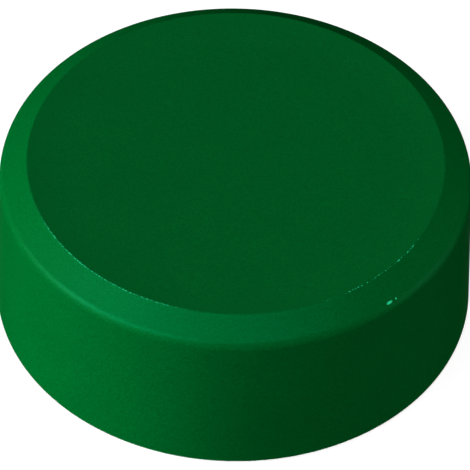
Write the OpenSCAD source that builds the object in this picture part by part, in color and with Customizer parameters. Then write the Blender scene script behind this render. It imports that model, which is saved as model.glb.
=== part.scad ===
// Round holding magnet: a shallow steel pot with a ferrite disc potted in it, set into a moulded plastic cap.
// Millimetres. The origin is the centre of the pole face, and +Z points to the finger side of the cap.

/* [Cap] */
// Widest diameter of the cap, at the foot of its skirt
cap_d = 38; // [37:0.5:42]
// Height from the pole face to the rim of the top
total_h = 15; // [13:0.5:18]
// Gap that keeps the foot of the skirt off the surface the magnet holds to
skirt_gap = 0.2; // [0:0.1:0.4]
// Mould draft of the skirt, in degrees
skirt_draft = 0.7; // [0:0.1:1.5]
// Radial width of the bevel around the top
bevel_w = 2.15; // [1.2:0.05:2.2]
// Height of the bevel around the top
bevel_h = 1.55; // [1:0.05:2]
// Rounding between the bevel and the skirt
shoulder_round = 1; // [0.3:0.1:1.2]
// Rounding between the top and the bevel
rim_round = 0.2; // [0.1:0.1:0.6]
// Rounding along the foot of the skirt
foot_round = 0.3; // [0.1:0.1:0.6]
// How far the middle of the top lies below its rim
dish_depth = 0.12; // [0.05:0.01:0.3]
// Radial width of the ring where the top rises to its rim
dish_w = 4; // [2:0.5:8]
// Thickness of the top
top_t = 2; // [1.5:0.1:3]

/* [Seat] */
// Radial gap between the pot and the plain bore of the cap
bore_gap = 0.2; // [0.1:0.05:0.4]
// Size of the lead-in bevel at the mouth of the bore
lead_in = 0.4; // [0.2:0.1:0.6]
// Number of crush ribs that centre the pot in the bore
crush_ribs = 12; // [6:1:18]
// Radius of each crush rib's round back
crush_rib_r = 0.5; // [0.4:0.05:0.6]
// Number of plates under the top that the pot is pressed up against, two spokes to each
seat_plates = 3; // [2:1:4]
// Thickness of each of those plates
plate_t = 1.2; // [0.8:0.1:2]
// Diameter of the round boss where they cross
boss_d = 5; // [3:0.5:8]

/* [Magnet] */
// Outer diameter of the steel pot
pot_d = 32; // [30:0.5:32]
// Height of the steel pot
pot_h = 7; // [6:0.5:8]
// Thickness of the pot's wall, at its pole rim
pot_wall = 2; // [1.5:0.1:2.5]
// Outer rounding at the closed end of the pot
pot_round = 1; // [0.5:0.1:1.5]
// Inner rounding at the floor of the pot
pot_floor_round = 0.4; // [0.2:0.1:0.6]
// Diameter of the ferrite disc
disc_d = 25; // [20:0.5:25]
// Thickness of the ferrite disc
disc_h = 5; // [3.5:0.5:5]
// Bevel along both edges of the ferrite disc
disc_bevel = 0.25; // [0.1:0.05:0.4]
// Thickness of the epoxy between the disc and the floor of the pot
bond_t = 0.1; // [0.05:0.05:0.2]
// How far the epoxy ring lies inside the pole face at its edges
epoxy_sink = 0.3; // [0.2:0.05:0.6]
// How much deeper the middle of the epoxy ring lies than its edges
epoxy_hollow = 0.2; // [0.1:0.05:0.3]

/* [Hidden] */

$fn = 96;
arc_steps = 10;     // straight pieces in each rounded corner
curve_steps = 12;   // straight pieces in each longer curve
past = 0.5;         // how far a cut or a joined shape runs past the face it meets

cap_r = cap_d / 2;
shoulder_z = total_h - bevel_h;
shoulder_r = cap_r - (shoulder_z - skirt_gap) * tan(skirt_draft);
rim_r = shoulder_r - bevel_w;
ceiling_z = total_h - dish_depth - top_t;
ceiling_round = 0.8;

pot_r = pot_d / 2;
bore_r = pot_r + bore_gap;
pot_well_r = pot_r - pot_wall;
pot_well_z = disc_h + bond_t;
pole_break = 0.15;  // small bevels along both edges of the pot's pole rim
disc_r = disc_d / 2;

crush_rib_foot = 1.2;            // height at which the crush ribs begin, clear of the lead-in
crush_rib_head = pot_h - pot_round;

glue_h = 0.9;       // how far the glue climbs the bore above the back of the pot
glue_w = 1.6;       // how far it spreads over the back of the pot
glue_drop = 1.3;    // how far it runs down the gap beside the pot

function unit(v) = v / norm(v);
function turned(v, angle) = [v.x * cos(angle) - v.y * sin(angle), v.x * sin(angle) + v.y * cos(angle)];

// The arc of radius r that rounds corner b between its neighbours a and c
function corner_arc(a, b, c, r) =
    let (to_a = unit(a - b), to_c = unit(c - b), half = acos(to_a * to_c) / 2,
         centre = b + unit(to_a + to_c) * r / sin(half),
         spoke = b + to_a * r / tan(half) - centre,
         sweep = sign(cross(to_c, to_a)) * (180 - 2 * half))
    [for (i = [0 : arc_steps]) centre + turned(spoke, sweep * i / arc_steps)];

// An outline from corners [radius, height, rounding], where a corner without a rounding stays sharp
function rounded(corners) =
    let (n = len(corners), at = function (i) [corners[(i + n) % n].x, corners[(i + n) % n].y])
    [for (i = [0 : n - 1])
        each is_undef(corners[i][2]) ? [at(i)] : corner_arc(at(i - 1), at(i), at(i + 1), corners[i][2])];

// Height of the top at radius r: flat in the middle, then a parabola up to the rim
function top_z(r) = total_h - dish_depth * (1 - pow(max(0, r - rim_r + dish_w) / dish_w, 2));
top_curve = [for (i = [curve_steps - 2 : -1 : 0])
    let (r = rim_r - dish_w + dish_w * i / curve_steps) [r, top_z(r)]];

// Height of the epoxy's open face at radius r, hollow between the disc and the pot
function epoxy_z(r) =
    let (middle = (disc_r + pot_well_r) / 2, reach = (pot_well_r - disc_r) / 2)
    epoxy_sink + epoxy_hollow * (1 - pow((r - middle) / reach, 2));

// Outside of the cap, as if it were solid
module cap_outline() {
    polygon(rounded(concat(
        [[0, skirt_gap],
         [cap_r, skirt_gap, foot_round],
         [shoulder_r, shoulder_z, shoulder_round],
         [rim_r, total_h, rim_round]],
        top_curve,
        [[0, top_z(0)]])));
}

// Hollow of the cap: the bore for the pot and the space above it, open at the foot
module cap_hollow_outline() {
    polygon(rounded([
        [0, skirt_gap - past],
        [bore_r + lead_in, skirt_gap - past],
        [bore_r + lead_in, skirt_gap],
        [bore_r, skirt_gap + lead_in],
        [bore_r, ceiling_z, ceiling_round],
        [0, ceiling_z]]));
}

module pot_outline() {
    polygon(rounded([
        [0, pot_h],
        [0, 0],
        [pot_r - pole_break, 0],
        [pot_r, pole_break],
        [pot_r, pot_h, pot_round]]));
}

// Inside of the pot, running on past the pole face
module pot_well_outline() {
    polygon(rounded([
        [0, -past],
        [pot_well_r + pole_break, -past],
        [pot_well_r + pole_break, 0],
        [pot_well_r, pole_break],
        [pot_well_r, pot_well_z, pot_floor_round],
        [0, pot_well_z]]));
}

module disc_outline() {
    polygon([
        [0, 0],
        [disc_r - disc_bevel, 0],
        [disc_r, disc_bevel],
        [disc_r, disc_h - disc_bevel],
        [disc_r - disc_bevel, disc_h],
        [0, disc_h]]);
}

// Plates that cross under the top, with a boss where they meet. Their lower edges are the pot's stop
module seat() {
    height = ceiling_z + past - pot_h;
    for (i = [0 : seat_plates - 1])
        rotate(180 * i / seat_plates)
            translate([-bore_r - past, -plate_t / 2, pot_h])
                cube([2 * (bore_r + past), plate_t, height]);
    translate([0, 0, pot_h])
        cylinder(d = boss_d, h = height);
}

// Round-backed ribs down the bore, whose crests touch the pot
module bore_ribs() {
    for (i = [0 : crush_ribs - 1])
        rotate(360 * (i + 0.5) / crush_ribs)
            translate([pot_r + crush_rib_r, 0, crush_rib_foot])
                cylinder(r = crush_rib_r, h = crush_rib_head - crush_rib_foot);
}

module cap() {
    color([0, 0.32, 0.12])
        union() {
            rotate_extrude()
                difference() {
                    cap_outline();
                    cap_hollow_outline();
                }
            seat();
            bore_ribs();
        }
}

module steel_pot() {
    color([0.62, 0.64, 0.66])
        rotate_extrude()
            difference() {
                pot_outline();
                pot_well_outline();
            }
}

module ferrite_disc() {
    color([0.12, 0.12, 0.13])
        rotate_extrude()
            disc_outline();
}

// Epoxy that bonds the disc to the floor of the pot and fills the ring around it
module epoxy_fill() {
    open_face = [for (i = [0 : curve_steps])
        let (r = disc_r + (pot_well_r - disc_r) * i / curve_steps) [r, epoxy_z(r)]];
    color([0.05, 0.05, 0.06])
        rotate_extrude()
            intersection() {
                difference() {
                    pot_well_outline();
                    disc_outline();
                }
                polygon(concat([[0, epoxy_sink]], open_face, [[pot_well_r, pot_well_z], [0, pot_well_z]]));
            }
}

// Glue in the corner between the back of the pot and the bore, which the plates and crush ribs part
module glue_bead() {
    slope = [for (i = [0 : curve_steps])
        let (a = 90 * i / curve_steps) [bore_r - glue_w * (1 - cos(a)), pot_h + glue_h * (1 - sin(a))]];
    color([0.85, 0.82, 0.7])
        difference() {
            rotate_extrude()
                difference() {
                    polygon(concat([[pot_r - past, pot_h - glue_drop], [bore_r, pot_h - glue_drop]], slope));
                    pot_outline();
                }
            seat();
            bore_ribs();
        }
}

cap();
steel_pot();
ferrite_disc();
epoxy_fill();
glue_bead();
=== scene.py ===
"""Looks of a round holding magnet: a moulded cap over a steel pot, with a ferrite disc potted in it."""
import math
import random

import bmesh
import bpy
from mathutils import Matrix, Vector


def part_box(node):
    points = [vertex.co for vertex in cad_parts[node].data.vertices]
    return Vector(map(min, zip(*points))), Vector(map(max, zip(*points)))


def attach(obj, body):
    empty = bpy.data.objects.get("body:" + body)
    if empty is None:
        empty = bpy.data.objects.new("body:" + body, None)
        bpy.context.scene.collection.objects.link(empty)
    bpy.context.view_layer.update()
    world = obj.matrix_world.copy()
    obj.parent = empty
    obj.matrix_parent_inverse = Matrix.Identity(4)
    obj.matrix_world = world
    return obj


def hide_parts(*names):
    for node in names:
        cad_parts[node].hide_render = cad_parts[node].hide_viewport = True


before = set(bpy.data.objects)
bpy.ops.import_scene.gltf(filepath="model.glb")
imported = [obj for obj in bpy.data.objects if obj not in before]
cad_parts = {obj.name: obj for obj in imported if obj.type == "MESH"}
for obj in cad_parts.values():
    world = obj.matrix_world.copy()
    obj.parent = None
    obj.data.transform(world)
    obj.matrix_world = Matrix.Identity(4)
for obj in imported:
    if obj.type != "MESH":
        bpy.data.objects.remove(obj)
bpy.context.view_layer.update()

MM = 0.001
CAP_LOW, CAP_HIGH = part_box("cap")
POT_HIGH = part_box("steel_pot")[1]
DISC_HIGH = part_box("ferrite_disc")[1]

# The outside of the cap, as the CAD draws it
CAP_R = CAP_HIGH.x
TOP_Z = CAP_HIGH.z
FOOT_Z = CAP_LOW.z
SKIRT_DRAFT = math.radians(0.7)
BEVEL_W = 2.15 * MM
BEVEL_H = 1.55 * MM
SHOULDER_ROUND = 1 * MM
RIM_ROUND = 0.2 * MM
FOOT_ROUND = 0.3 * MM
DISH_DEPTH = 0.12 * MM
DISH_W = 4 * MM
SHOULDER_Z = TOP_Z - BEVEL_H
SHOULDER_R = CAP_R - (SHOULDER_Z - FOOT_Z) * math.tan(SKIRT_DRAFT)
RIM_R = SHOULDER_R - BEVEL_W

# The inside of the cap, where the pot sits, again as the CAD draws it
POT_R = POT_HIGH.x
POT_H = POT_HIGH.z
BORE_GAP = 0.2 * MM
BORE_R = POT_R + BORE_GAP
LEAD_IN = 0.4 * MM
TOP_T = 2 * MM
CEILING_Z = TOP_Z - DISH_DEPTH - TOP_T
CEILING_ROUND = 0.8 * MM
CRUSH_RIBS = 12
CRUSH_RIB_R = 0.5 * MM
CRUSH_RIB_FOOT = 1.2 * MM
SEAT_PLATES = 3
PLATE_T = 1.2 * MM
BOSS_R = 2.5 * MM
OVERLAP = 0.5 * MM

# The magnet
POT_WALL = 2 * MM
POT_ROUND = 1 * MM
POT_FLOOR_ROUND = 0.4 * MM
POLE_BREAK = 0.15 * MM
DISC_R = DISC_HIGH.x
DISC_H = DISC_HIGH.z
DISC_BEVEL = 0.25 * MM
BOND_T = 0.1 * MM
WELL_R = POT_R - POT_WALL
WELL_Z = DISC_H + BOND_T
EPOXY_SINK = 0.3 * MM
EPOXY_HOLLOW = 0.2 * MM
CHIPS = 26
CHIP_SEED = 5

# How finely curves are divided
LATHE_STEPS = 256
CYLINDER_STEPS = 48
ARC_STEPS = 10
CURVE_STEPS = 12
SHARP_ANGLE = math.radians(30)

# Camera and lamps. Angles are in degrees, and lengths in metres
VIEW_ELEVATION = 46.3
VIEW_ROLL = 1.4
VIEW_TARGET = Vector((0.065, 0, 6.545)) * MM
VIEW_DISTANCE = 50 * SHOULDER_R
LENS_MM = 900
LAMP_SIZE = 0.28
LAMP_DISTANCE = 0.6
FLOOR_SIZE = 4
FLOOR_GAP = 0.02 * MM
WORLD_LIGHT = 0.04
WORLD_SEEN = 0.95


# ---------------------------------------------------------------- outlines and meshes

def arc_corner(a, b, c, radius):
    """Points of the arc that rounds corner b between its neighbours a and c."""
    to_a, to_c = (a - b).normalized(), (c - b).normalized()
    half = to_a.angle(to_c) / 2
    centre = b + (to_a + to_c).normalized() * radius / math.sin(half)
    start = b + to_a * radius / math.tan(half) - centre
    sweep = math.copysign(math.pi - 2 * half, to_c.cross(to_a))
    return [centre + Matrix.Rotation(sweep * i / ARC_STEPS, 2) @ start for i in range(ARC_STEPS + 1)]


def rounded(corners):
    """An outline from corners (radius, height) or (radius, height, rounding)."""
    points = [Vector(corner[:2]) for corner in corners]
    outline = []
    for i, corner in enumerate(corners):
        before, after = points[i - 1], points[(i + 1) % len(points)]
        outline += arc_corner(before, points[i], after, corner[2]) if len(corner) > 2 else [points[i]]
    return outline


def new_object(name, bm):
    """A linked object that holds the mesh in bm."""
    mesh = bpy.data.meshes.new(name)
    bm.to_mesh(mesh)
    bm.free()
    made = bpy.data.objects.new(name, mesh)
    bpy.context.scene.collection.objects.link(made)
    return made


def ring_of(bm, r, z):
    """The vertices of one ring round Z, or the one vertex on the axis."""
    if r == 0:
        return [bm.verts.new((0, 0, z))]
    turns = [2 * math.pi * k / LATHE_STEPS for k in range(LATHE_STEPS)]
    return [bm.verts.new((r * math.cos(turn), r * math.sin(turn), z)) for turn in turns]


def lathe(name, outline):
    """A closed solid from a closed outline of (radius, height) points, turned about Z."""
    bm = bmesh.new()
    rings = [ring_of(bm, *point) for point in outline]
    for i, ring in enumerate(rings):
        after = rings[(i + 1) % len(rings)]
        if len(ring) == len(after) == 1:
            continue
        for k in range(LATHE_STEPS):
            n = k + 1
            corners = [ring[k % len(ring)], ring[n % len(ring)],
                       after[n % len(after)], after[k % len(after)]]
            bm.faces.new(dict.fromkeys(corners))
    bmesh.ops.recalc_face_normals(bm, faces=bm.faces)
    return new_object(name, bm)


def cylinder(radius, low, high, centre=(0, 0)):
    """An upright cylinder between two heights."""
    bm = bmesh.new()
    bmesh.ops.create_cone(bm, cap_ends=True, segments=CYLINDER_STEPS, radius1=radius, radius2=radius,
                          depth=high - low)
    bmesh.ops.translate(bm, verts=bm.verts, vec=(*centre, (low + high) / 2))
    return new_object("cylinder", bm)


def plate(length, thickness, low, high, angle):
    """An upright plate across the axis, turned about Z by that angle."""
    bm = bmesh.new()
    bmesh.ops.create_cube(bm, size=1)
    bmesh.ops.scale(bm, verts=bm.verts, vec=(length, thickness, high - low))
    bmesh.ops.translate(bm, verts=bm.verts, vec=(0, 0, (low + high) / 2))
    bmesh.ops.rotate(bm, verts=bm.verts, matrix=Matrix.Rotation(angle, 3, "Z"))
    return new_object("plate", bm)


def join_solid(target, part):
    """Makes target and part one closed solid."""
    union = target.modifiers.new("union", "BOOLEAN")
    union.operation = "UNION"
    union.solver = "EXACT"
    union.object = part
    with bpy.context.temp_override(object=target, active_object=target):
        bpy.ops.object.modifier_apply(modifier=union.name)
    bpy.data.objects.remove(part)


def smooth(piece):
    """Smooth shading that leaves flats flat and sharp edges sharp."""
    piece.data.shade_smooth()
    piece.data.set_sharp_from_angle(angle=SHARP_ANGLE)
    weighted = piece.modifiers.new("weighted_normals", "WEIGHTED_NORMAL")
    weighted.keep_sharp = True
    return piece


# ---------------------------------------------------------------- pieces

def dished_top():
    """Points from near the rim to the axis: a shallow parabola, and then the flat middle."""
    curve = []
    for i in range(CURVE_STEPS - 2, -1, -1):
        share = i / CURVE_STEPS
        curve.append((RIM_R - DISH_W * (1 - share), TOP_Z - DISH_DEPTH * (1 - share ** 2)))
    flat_r = curve[-1][0]
    return curve + [(flat_r * share, TOP_Z - DISH_DEPTH) for share in (0.75, 0.5, 0.25, 0)]


def make_cap():
    """The cap's shell, with the boss, plates and crush ribs inside it."""
    outside = [(BORE_R + LEAD_IN, FOOT_Z), (CAP_R, FOOT_Z, FOOT_ROUND),
               (SHOULDER_R, SHOULDER_Z, SHOULDER_ROUND), (RIM_R, TOP_Z, RIM_ROUND)]
    hollow = [(BORE_R * share, CEILING_Z) for share in (0, 0.3, 0.6)]
    hollow += [(BORE_R, CEILING_Z, CEILING_ROUND), (BORE_R, FOOT_Z + LEAD_IN)]
    cap = lathe("cap_moulding", rounded(outside + dished_top() + hollow))
    seat_top = CEILING_Z + OVERLAP
    join_solid(cap, cylinder(BOSS_R, POT_H, seat_top))
    plate_length = 2 * (BORE_R + OVERLAP)
    for i in range(SEAT_PLATES):
        join_solid(cap, plate(plate_length, PLATE_T, POT_H, seat_top, math.pi * i / SEAT_PLATES))
    for i in range(CRUSH_RIBS):
        angle = 2 * math.pi * (i + 0.5) / CRUSH_RIBS
        centre = Vector((math.cos(angle), math.sin(angle))) * (POT_R + CRUSH_RIB_R)
        join_solid(cap, cylinder(CRUSH_RIB_R, CRUSH_RIB_FOOT, POT_H - POT_ROUND, centre))
    return smooth(cap)


def make_pot():
    """The steel cup, whose rim is the outer pole."""
    return smooth(lathe("pot_shell", rounded([
        (0, POT_H), (0, WELL_Z), (WELL_R / 2, WELL_Z), (WELL_R, WELL_Z, POT_FLOOR_ROUND),
        (WELL_R, POLE_BREAK), (WELL_R + POLE_BREAK, 0), (POT_R - POLE_BREAK, 0), (POT_R, POLE_BREAK),
        (POT_R, POT_H, POT_ROUND), (POT_R / 2, POT_H)])))


def make_disc():
    """The ferrite disc, with the small chips that sintered ferrite has along its lower edge."""
    edge = [(DISC_R - DISC_BEVEL * (1 - share), DISC_BEVEL * share) for share in (0, 0.33, 0.67, 1)]
    faces = [(DISC_R * share, 0) for share in (0, 0.3, 0.6, 0.9)]
    disc = lathe("magnet_disc", faces + edge + [
        (DISC_R, DISC_BEVEL * 2), (DISC_R, DISC_H - DISC_BEVEL), (DISC_R - DISC_BEVEL, DISC_H),
        (DISC_R / 2, DISC_H), (0, DISC_H)])
    chance = random.Random(CHIP_SEED)
    chips = [(chance.uniform(-math.pi, math.pi), chance.uniform(0.2, 0.6) * MM,
              chance.uniform(0.05, 0.16) * MM) for _ in range(CHIPS)]
    for vertex in disc.data.vertices:
        x, y, z = vertex.co
        if z > 1.5 * DISC_BEVEL or math.hypot(x, y) < DISC_R - 1.5 * DISC_BEVEL:
            continue
        turn = math.atan2(y, x)
        for place, width, depth in chips:
            away = abs(math.remainder(turn - place, 2 * math.pi)) * DISC_R / width
            if away < 1:
                vertex.co.x -= math.cos(turn) * depth * (1 - away ** 2)
                vertex.co.y -= math.sin(turn) * depth * (1 - away ** 2)
    return smooth(disc)


def make_epoxy():
    """The epoxy between the disc and the pot, with a hollow open face."""
    middle, reach = (DISC_R + WELL_R) / 2, (WELL_R - DISC_R) / 2
    open_face = []
    for i in range(CURVE_STEPS + 1):
        r = DISC_R + (WELL_R - DISC_R) * i / CURVE_STEPS
        open_face.append((r, EPOXY_SINK + EPOXY_HOLLOW * (1 - ((r - middle) / reach) ** 2)))
    return smooth(lathe("epoxy_potting", rounded(
        [(0, DISC_H), (DISC_R - DISC_BEVEL, DISC_H), (DISC_R, DISC_H - DISC_BEVEL)] + open_face
        + [(WELL_R, WELL_Z, POT_FLOOR_ROUND), (0, WELL_Z)])))


# ---------------------------------------------------------------- materials

class Nodes:
    """One material's node tree, with short ways to add to it."""

    def __init__(self, name):
        self.material = bpy.data.materials.new(name)
        self.material.use_nodes = True
        self.tree = self.material.node_tree
        self.shader = self.tree.nodes["Principled BSDF"]
        self.place = self.add("ShaderNodeTexCoord").outputs["Object"]

    def add(self, kind, inputs=None, **settings):
        node = self.tree.nodes.new(kind)
        for key, value in settings.items():
            setattr(node, key, value)
        for key, value in (inputs or {}).items():
            self.feed(node.inputs[key], value)
        return node

    def feed(self, socket, value):
        if isinstance(value, bpy.types.NodeSocket):
            self.tree.links.new(value, socket)
        else:
            socket.default_value = value

    def set(self, socket, value):
        self.feed(self.shader.inputs[socket], value)

    def math(self, operation, a, b=0.0):
        return self.add("ShaderNodeMath", {0: a, 1: b}, operation=operation).outputs[0]

    def noise(self, size, detail=2.0, place=None):
        """Noise with features about size across, from 0 to 1."""
        inputs = {"Vector": place or self.place, "Scale": 1 / size, "Detail": detail}
        return self.add("ShaderNodeTexNoise", inputs).outputs["Fac"]

    def spots(self, spacing, radius):
        """Round spots, one to a cell of that spacing, fading from 1 in the middle to 0 at that radius."""
        inputs = {"Vector": self.place, "Scale": 1 / spacing}
        distance = self.add("ShaderNodeTexVoronoi", inputs).outputs["Distance"]
        return self.remap(distance, 0, radius / spacing, 1, 0)

    def remap(self, value, low, high, to_low=0.0, to_high=1.0):
        inputs = {"Value": value, "From Min": low, "From Max": high, "To Min": to_low, "To Max": to_high}
        return self.add("ShaderNodeMapRange", inputs).outputs["Result"]

    def mix(self, share, a, b):
        node = self.add("ShaderNodeMix", data_type="RGBA")
        for socket, value in (("Factor", share), ("A", a), ("B", b)):
            self.feed(node.inputs[socket], value)
        return node.outputs["Result"]

    def bump(self, height, depth, normal=None):
        node = self.add("ShaderNodeBump", {"Height": height, "Distance": depth})
        if normal is not None:
            self.feed(node.inputs["Normal"], normal)
        return node.outputs["Normal"]

    def near_ring(self, r, z, width):
        """1 on the circle of that radius and height round Z, fading to 0 at that distance from it."""
        x, y, height = self.add("ShaderNodeSeparateXYZ", {0: self.place}).outputs
        out = self.math("SQRT", self.math("ADD", self.math("MULTIPLY", x, x),
                                          self.math("MULTIPLY", y, y)))
        across = self.math("SUBTRACT", out, r)
        above = self.math("SUBTRACT", height, z)
        squares = self.math("ADD", self.math("MULTIPLY", across, across),
                            self.math("MULTIPLY", above, above))
        return self.remap(self.math("SQRT", squares), 0, width, 1, 0)

    def mark(self, angle, r, z, size):
        """An oval mark at that angle round Z, fading from 1 in its middle to 0 at its half sizes."""
        point = (r * math.cos(angle), r * math.sin(angle), z)
        inputs = {"Vector": self.place, "Location": point, "Rotation": (0, 0, angle), "Scale": size}
        own = self.add("ShaderNodeMapping", inputs, vector_type="TEXTURE").outputs[0]
        away = self.add("ShaderNodeVectorMath", {0: own}, operation="LENGTH").outputs["Value"]
        return self.remap(away, 0, 1, 1, 0)


def moulded_plastic():
    """Injection-moulded green plastic with a fine grain, with painted highlights along two stretches of
    its rim edge and on two small nicks at its shoulder.
    """
    n = Nodes("moulded_plastic")
    green, deep_green = (0, 0.096, 0.0148, 1), (0, 0.056, 0.0086, 1)
    painted_highlight_green, grime = (0.02, 0.55, 0.24, 1), (0, 0.02, 0.006, 1)
    colour = n.mix(n.remap(n.noise(5 * MM), 0.3, 0.7, 0.1, 0.3), green, deep_green)
    colour = n.mix(n.remap(n.noise(0.11 * MM), 0.35, 0.65), colour, deep_green)
    # Painted highlight: a paler speckled line on the rim edge, only at the left front and the right,
    # where the lamps glint off it.
    rim = n.near_ring(RIM_R, TOP_Z, 0.08 * MM)
    left = n.remap(n.mark(math.radians(-130), RIM_R, TOP_Z, (5 * MM, 9 * MM, MM)), 0, 0.4)
    right = n.remap(n.mark(math.radians(-46), RIM_R, TOP_Z, (3 * MM, 6 * MM, MM)), 0, 0.4)
    fine = n.noise(0.19 * MM, 3)
    rim_glint = n.math("ADD", n.math("MULTIPLY", left, n.remap(fine, 0.48, 0.62, 0.08, 0.8)),
                  n.math("MULTIPLY", right, n.remap(fine, 0.54, 0.62)))
    colour = n.mix(n.math("MULTIPLY", rim, rim_glint), colour, painted_highlight_green)
    # Two small nicks at the shoulder, painted pale: a painted highlight where a lamp glints off them.
    nick_r, nick_z = SHOULDER_R - 0.32 * MM, SHOULDER_Z + 0.22 * MM
    long_nick_glint = n.mark(math.radians(-48), nick_r, nick_z, (0.14 * MM, 0.34 * MM, 0.14 * MM))
    round_nick_glint = n.mark(math.radians(-45.9), nick_r, nick_z, (0.1 * MM, 0.09 * MM, 0.1 * MM))
    colour = n.mix(n.remap(n.math("ADD", long_nick_glint, round_nick_glint), 0, 0.5), colour, painted_highlight_green)
    speck_r, speck_z = CAP_R - 0.12 * MM, 9.7 * MM
    speck = n.mark(math.radians(-157.4), speck_r, speck_z, (0.2 * MM, 0.1 * MM, 0.18 * MM))
    n.set("Base Color", n.mix(speck, colour, grime))
    n.set("Roughness", n.remap(n.noise(0.4 * MM), 0.3, 0.7, 0.37, 0.45))
    n.set("Specular Tint", (0, 1, 0.4, 1))
    waviness = n.bump(n.noise(1.2 * MM), 0.004 * MM)
    n.set("Normal", n.bump(n.noise(0.13 * MM, 3), 0.003 * MM, waviness))
    return n.material


def plated_steel():
    """Clear zinc plate over pressed steel, with the fine rings that facing leaves on the pole."""
    n = Nodes("plated_steel")
    bright, dull = (0.66, 0.67, 0.68, 1), (0.5, 0.52, 0.55, 1)
    n.set("Base Color", n.mix(n.remap(n.noise(1.2 * MM, 4), 0.35, 0.65), bright, dull))
    n.set("Metallic", 1.0)
    n.set("Roughness", n.remap(n.noise(0.25 * MM, 3), 0.3, 0.7, 0.26, 0.44))
    ring_scale = math.pi / 10 / (0.18 * MM)     # a wave texture repeats every pi / 10 / scale
    inputs = {"Vector": n.place, "Scale": ring_scale, "Distortion": 1, "Detail": 2}
    rings = n.add("ShaderNodeTexWave", inputs, wave_type="RINGS", rings_direction="Z").outputs["Fac"]
    n.set("Normal", n.bump(n.noise(0.2 * MM, 3), 0.004 * MM, n.bump(rings, 0.003 * MM)))
    return n.material


def sintered_ferrite():
    """Dark grey sintered ferrite with straight grinding marks and small pores."""
    n = Nodes("sintered_ferrite")
    dark, pale, pore = (0.035, 0.035, 0.038, 1), (0.07, 0.07, 0.074, 1), (0.012, 0.012, 0.013, 1)
    inputs = {"Vector": n.place, "Rotation": (0, 0, 0.6), "Scale": (0.04, 1, 1)}
    marks = n.noise(0.15 * MM, 4, n.add("ShaderNodeMapping", inputs).outputs[0])
    pores = n.spots(0.9 * MM, 0.12 * MM)
    n.set("Base Color", n.mix(pores, n.mix(n.remap(marks, 0.35, 0.65), dark, pale), pore))
    n.set("Roughness", n.remap(marks, 0.3, 0.7, 0.38, 0.6))
    grain = n.bump(n.noise(0.08 * MM, 3), 0.004 * MM, n.bump(marks, 0.004 * MM))
    n.set("Normal", n.bump(n.math("SUBTRACT", 1.0, pores), 0.02 * MM, grain))
    return n.material


def potting_epoxy():
    """Black epoxy, glossy where it flowed level and dimpled by small bubbles."""
    n = Nodes("potting_epoxy")
    n.set("Base Color", n.mix(n.noise(0.8 * MM, 3), (0.012, 0.012, 0.014, 1), (0.03, 0.03, 0.033, 1)))
    n.set("Roughness", n.remap(n.noise(0.6 * MM, 3), 0.3, 0.7, 0.2, 0.4))
    bubbles = n.math("SUBTRACT", 1.0, n.spots(1.1 * MM, 0.14 * MM))
    n.set("Normal", n.bump(bubbles, 0.03 * MM, n.bump(n.noise(0.9 * MM), 0.03 * MM)))
    return n.material


def cured_glue():
    """Amber contact glue with a dull skin."""
    n = Nodes("cured_glue")
    n.set("Base Color", n.mix(n.noise(0.7 * MM, 3), (0.72, 0.66, 0.46, 1), (0.55, 0.47, 0.28, 1)))
    n.set("Roughness", n.remap(n.noise(0.4 * MM, 3), 0.3, 0.7, 0.3, 0.5))
    n.set("Normal", n.bump(n.noise(0.5 * MM, 3), 0.03 * MM))
    return n.material


def dress(piece, material):
    piece.data.materials.clear()
    piece.data.materials.append(material)


def stand_for(node, piece, material):
    """Shows a piece in the place of a CAD node."""
    dress(piece, material)
    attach(piece, "root")
    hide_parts(node)


# ---------------------------------------------------------------- stage, light and camera

def around(azimuth, elevation, distance):
    """A place that far from the origin. Azimuth 0 is in front of the magnet and 90 to its right."""
    a, e = math.radians(azimuth), math.radians(elevation)
    return Vector((math.sin(a) * math.cos(e), -math.cos(a) * math.cos(e), math.sin(e))) * distance


def aim(thing, place, target):
    """Stands a camera or lamp at a place, turned towards the target."""
    thing.location = place
    thing.rotation_mode = "QUATERNION"
    thing.rotation_quaternion = (Vector(target) - Vector(place)).to_track_quat("-Z", "Y")


def soft_light(name, azimuth, elevation, power, glossy=True):
    """A round lamp that faces the magnet. One that is not glossy lights it without a highlight."""
    lamp = bpy.data.lights.new(name, "AREA")
    lamp.shape = "DISK"
    lamp.size = LAMP_SIZE
    lamp.energy = power
    made = bpy.data.objects.new(name, lamp)
    made.visible_glossy = glossy
    bpy.context.scene.collection.objects.link(made)
    aim(made, around(azimuth, elevation, LAMP_DISTANCE), (0, 0, TOP_Z / 2))


def make_floor():
    """A plain pale floor that takes a faint shadow. A camera underneath sees through it, and it neither
    blocks the lamps below nor colours the magnet."""
    bm = bmesh.new()
    bmesh.ops.create_grid(bm, x_segments=8, y_segments=8, size=FLOOR_SIZE)
    floor = new_object("floor", bm)
    floor.location.z = -FLOOR_GAP
    n = Nodes("pale_floor")
    n.set("Base Color", n.mix(n.noise(300 * MM), (0.3, 0.3, 0.3, 1), (0.31, 0.31, 0.31, 1)))
    n.set("Roughness", 1.0)
    n.set("Specular IOR Level", 0.0)
    n.set("Emission Color", (1, 1, 1, 1))
    n.set("Emission Strength", 0.8)
    clear = n.add("ShaderNodeBsdfTransparent").outputs[0]
    below = n.add("ShaderNodeNewGeometry").outputs["Backfacing"]
    seen = n.add("ShaderNodeMixShader", {0: below, 1: n.shader.outputs[0], 2: clear}).outputs[0]
    n.feed(n.tree.nodes["Material Output"].inputs["Surface"], seen)
    dress(floor, n.material)
    floor.visible_diffuse = floor.visible_glossy = floor.visible_shadow = False


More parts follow.
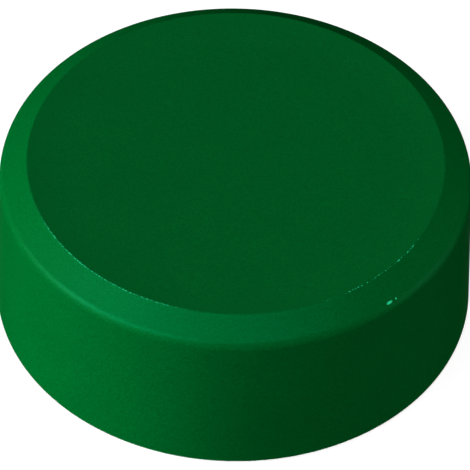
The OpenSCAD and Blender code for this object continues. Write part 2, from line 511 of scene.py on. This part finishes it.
def make_world():
    """Pale where the camera looks past the floor, and a dim even light without reflections elsewhere."""
    world = bpy.data.worlds.new("studio")
    world.use_nodes = True
    tree = world.node_tree
    seen = tree.nodes.new("ShaderNodeLightPath").outputs["Is Camera Ray"]
    strength = tree.nodes.new("ShaderNodeMapRange")
    strength.inputs["To Min"].default_value = WORLD_LIGHT
    strength.inputs["To Max"].default_value = WORLD_SEEN
    tree.links.new(seen, strength.inputs["Value"])
    tree.links.new(strength.outputs[0], tree.nodes["Background"].inputs["Strength"])
    tree.nodes["Background"].inputs["Color"].default_value = (1, 1, 1, 1)
    world.cycles_visibility.glossy = False
    bpy.context.scene.world = world


def make_camera():
    """A long lens from the photograph's side."""
    camera = bpy.data.cameras.new("camera")
    camera.lens = LENS_MM
    made = bpy.data.objects.new("camera", camera)
    bpy.context.scene.collection.objects.link(made)
    aim(made, VIEW_TARGET + around(0, VIEW_ELEVATION, VIEW_DISTANCE), VIEW_TARGET)
    roll = Matrix.Rotation(math.radians(VIEW_ROLL), 3, "Z")
    made.rotation_quaternion = made.rotation_quaternion @ roll.to_quaternion()
    bpy.context.scene.camera = made


stand_for("cap", make_cap(), moulded_plastic())
stand_for("steel_pot", make_pot(), plated_steel())
stand_for("ferrite_disc", make_disc(), sintered_ferrite())
stand_for("epoxy_fill", make_epoxy(), potting_epoxy())
dress(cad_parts["glue_bead"], cured_glue())

make_floor()
make_world()
soft_light("key", -65, 30, 0.8)
soft_light("key_low", -75, 20, 0.61)
soft_light("key_front", -40, 40, 0.79)
soft_light("high_left", -135, 60, 0.23)
soft_light("high_right", 30, 60, 0.23)
soft_light("left_fill", -90, 8, 5.56, glossy=False)
soft_light("front_left_fill", -60, 3, 2.06, glossy=False)
soft_light("front_fill", 0, 56, 1.83, glossy=False)
soft_light("right_fill", 90, 3, 1.87, glossy=False)
soft_light("back_fill", 180, 20, 0.2, glossy=False)
soft_light("below", 180, -72, 1.5)
soft_light("below_back", 180, -60, 1.2)
make_camera()
bpy.context.scene.view_settings.view_transform = "Standard"
